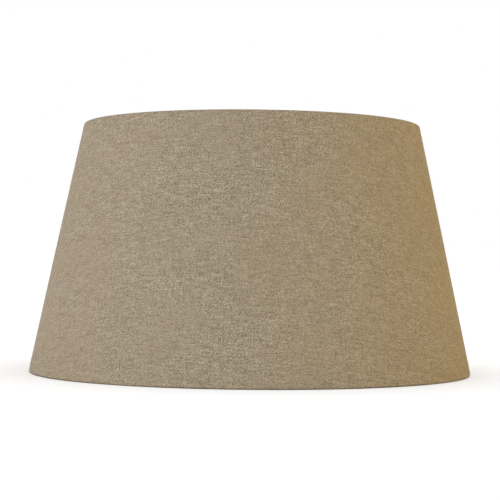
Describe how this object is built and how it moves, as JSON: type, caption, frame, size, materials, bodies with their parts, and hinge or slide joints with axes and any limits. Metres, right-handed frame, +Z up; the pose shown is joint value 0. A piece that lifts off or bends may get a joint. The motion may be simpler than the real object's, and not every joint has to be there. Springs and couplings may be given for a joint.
{
  "type": "lamp shade",
  "caption": "Tapered drum lamp shade in natural linen with rolled edges, wire spider, tilting fitter ring and reducer ring.",
  "frame": {"origin": "centre of the bottom rim, on the surface that the shade stands on", "axes": "+Z up the shade's axis, +Y towards the lapped seam at the back, +X to the right along the fitter's pivot"},
  "size_m": [0.4488, 0.4493, 0.252],
  "materials": {
    "linen": "plain-woven natural linen with slubs",
    "lining": "matt white film",
    "tape": "matt white adhesive tape",
    "frame_paint": "white epoxy powder coat",
    "rivet_zinc": "zinc plated",
    "nylon": "natural nylon",
    "reducer_plastic": "moulded white plastic, low gloss"
  },
  "bodies": {
    "shade": {"linen_cover": "linen", "styrene_lining": "lining", "seam_tape": "tape", "top_ring": "frame_paint", "bottom_ring": "frame_paint", "top_ring_tape": "tape", "bottom_ring_tape": "tape", "spider_arm_1": "frame_paint", "spider_arm_2": "frame_paint", "spider_arm_3": "frame_paint", "pivot_ring": "frame_paint", "pivot_rivet_right": "rivet_zinc", "pivot_rivet_left": "rivet_zinc", "pivot_spacer_right": "nylon", "pivot_spacer_left": "nylon"},
    "fitter": {"tilt_ring": "frame_paint"},
    "reducer": {"reducer_ring": "reducer_plastic"}
  },
  "joints": [
    {"name": "fitter_tilt", "type": "hinge", "parent": "shade", "child": "fitter", "pos_m": [0, 0, 0.22145], "axis": [1, 0, 0], "range_deg": [-180, 180]},
    {"name": "reducer_lift", "type": "slide", "parent": "fitter", "child": "reducer", "axis": [0, 0, 1], "range_m": [0, 0.06]}
  ]
}
